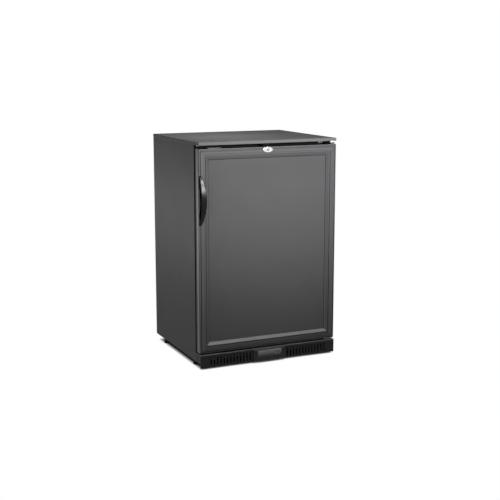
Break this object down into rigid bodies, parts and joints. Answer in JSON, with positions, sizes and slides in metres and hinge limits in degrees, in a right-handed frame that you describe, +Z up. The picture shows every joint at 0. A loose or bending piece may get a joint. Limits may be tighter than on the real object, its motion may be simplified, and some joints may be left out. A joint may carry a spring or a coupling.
{
  "type": "under counter fridge",
  "caption": "Black under counter fridge with a right-hinged solid door, bow handle, top lock, slotted plinth grille and round feet.",
  "frame": {"origin": "on the floor, at the middle of the overall width and of the overall depth, handle included", "axes": "+Z up, -Y towards the front where the door is, +X to the right as seen from the front"},
  "size_m": [0.6, 0.547, 0.9],
  "materials": {
    "case_paint": "satin",
    "worktop_paint": "satin",
    "door_paint": "satin",
    "frame_paint": "satin",
    "bright_zinc": "satin",
    "liner_aluminium": "satin",
    "insulation": "matte",
    "black_rubber": "matte",
    "gloss_black_plastic": "gloss",
    "black_plastic": "matte",
    "grey_plastic": "matte",
    "white_plastic": "satin",
    "lock_chrome": "polished",
    "chrome_wire": "gloss",
    "smoked_window": "gloss",
    "circuit_board": "satin",
    "coil_aluminium": "satin",
    "copper": "satin",
    "compressor_black": "satin",
    "pump_iron": "matte",
    "galvanised_steel": "satin"
  },
  "bodies": {
    "cabinet": {"left_side_panel": "case_paint", "right_side_panel": "case_paint", "worktop": "worktop_paint", "back_panel": "galvanised_steel", "base_pan": "galvanised_steel", "machine_bay_skin": "galvanised_steel", "rear_grille": "case_paint", "front_rails": "case_paint", "inner_liner": "liner_aluminium", "foam_insulation": "insulation", "cabinet_fasteners": "bright_zinc", "hinge_plates": "bright_zinc", "hinge_pins": "bright_zinc", "lock_keeper": "bright_zinc", "plinth_grille": "black_plastic", "control_housing": "black_plastic", "control_window": "smoked_window", "control_board": "circuit_board", "wire_shelf_lower": "chrome_wire", "wire_shelf_upper": "chrome_wire", "shelf_supports": "galvanised_steel", "lamp_housing": "white_plastic", "lamp_cover": "white_plastic", "duct_panel": "liner_aluminium", "evaporator_fan_motor": "black_plastic", "fan_guard": "chrome_wire", "coil_fins": "coil_aluminium", "refrigerant_pipes": "copper", "drain_trays_and_hose": "grey_plastic", "temperature_sensor": "black_plastic", "compressor_shell": "compressor_black", "compressor_pump_motor": "pump_iron", "compressor_grommets": "black_rubber", "fan_shroud": "galvanised_steel", "condenser_fan_motor": "compressor_black", "electrical_boxes": "black_plastic"},
    "door": {"door_stile_left": "frame_paint", "door_stile_right": "frame_paint", "door_rail_top": "frame_paint", "door_rail_bottom": "frame_paint", "door_panel": "door_paint", "door_core": "insulation", "door_inner_skin": "white_plastic", "door_seal": "black_rubber", "hinge_cover_plate": "grey_plastic", "handle": "gloss_black_plastic", "handle_screws": "bright_zinc", "hinge_bushes": "black_plastic", "lock_body": "lock_chrome"},
    "lock": {"lock_barrel": "lock_chrome"},
    "power_button": {"button_power": "grey_plastic"},
    "light_button": {"button_light": "grey_plastic"},
    "down_button": {"button_down": "grey_plastic"},
    "up_button": {"button_up": "grey_plastic"},
    "evaporator_fan": {"evaporator_fan_blades": "black_plastic"},
    "condenser_fan": {"condenser_fan_blades": "coil_aluminium"},
    "front_left_foot": {"foot_front_left": "black_plastic"},
    "front_right_foot": {"foot_front_right": "black_plastic"},
    "rear_left_foot": {"foot_rear_left": "black_plastic"},
    "rear_right_foot": {"foot_rear_right": "black_plastic"}
  },
  "joints": [
    {"name": "door_hinge", "type": "hinge", "parent": "cabinet", "child": "door", "pos_m": [0.288, -0.2225, 0.4705], "axis": [0, 0, 1], "range_deg": [0, 110], "stiffness_Nm_per_rad": 0.8, "springref_deg": -17.19},
    {"name": "lock_turn", "type": "hinge", "parent": "door", "child": "lock", "pos_m": [-0.007, -0.2465, 0.8634], "axis": [0, -1, 0], "range_deg": [0, 90]},
    {"name": "press_power", "type": "slide", "parent": "cabinet", "child": "power_button", "axis": [0, 1, 0], "range_m": [0, 0.0008], "stiffness_N_per_m": 300},
    {"name": "press_light", "type": "slide", "parent": "cabinet", "child": "light_button", "axis": [0, 1, 0], "range_m": [0, 0.0008], "stiffness_N_per_m": 300},
    {"name": "press_down", "type": "slide", "parent": "cabinet", "child": "down_button", "axis": [0, 1, 0], "range_m": [0, 0.0008], "stiffness_N_per_m": 300},
    {"name": "press_up", "type": "slide", "parent": "cabinet", "child": "up_button", "axis": [0, 1, 0], "range_m": [0, 0.0008], "stiffness_N_per_m": 300},
    {"name": "evaporator_fan_spin", "type": "hinge", "parent": "cabinet", "child": "evaporator_fan", "pos_m": [0, 0.1785, 0.72], "axis": [0, 1, 0], "continuous": true},
    {"name": "condenser_fan_spin", "type": "hinge", "parent": "cabinet", "child": "condenser_fan", "pos_m": [0.07, 0.1865, 0.15], "axis": [1, 0, 0], "continuous": true},
    {"name": "level_front_left", "type": "hinge", "parent": "cabinet", "child": "front_left_foot", "pos_m": [-0.28, -0.1585, 0.02], "axis": [0, 0, 1], "continuous": true},
    {"name": "level_front_right", "type": "hinge", "parent": "cabinet", "child": "front_right_foot", "pos_m": [0.28, -0.1585, 0.02], "axis": [0, 0, 1], "continuous": true},
    {"name": "level_rear_left", "type": "hinge", "parent": "cabinet", "child": "rear_left_foot", "pos_m": [-0.28, 0.1855, 0.02], "axis": [0, 0, 1], "continuous": true},
    {"name": "level_rear_right", "type": "hinge", "parent": "cabinet", "child": "rear_right_foot", "pos_m": [0.28, 0.1855, 0.02], "axis": [0, 0, 1], "continuous": true}
  ]
}
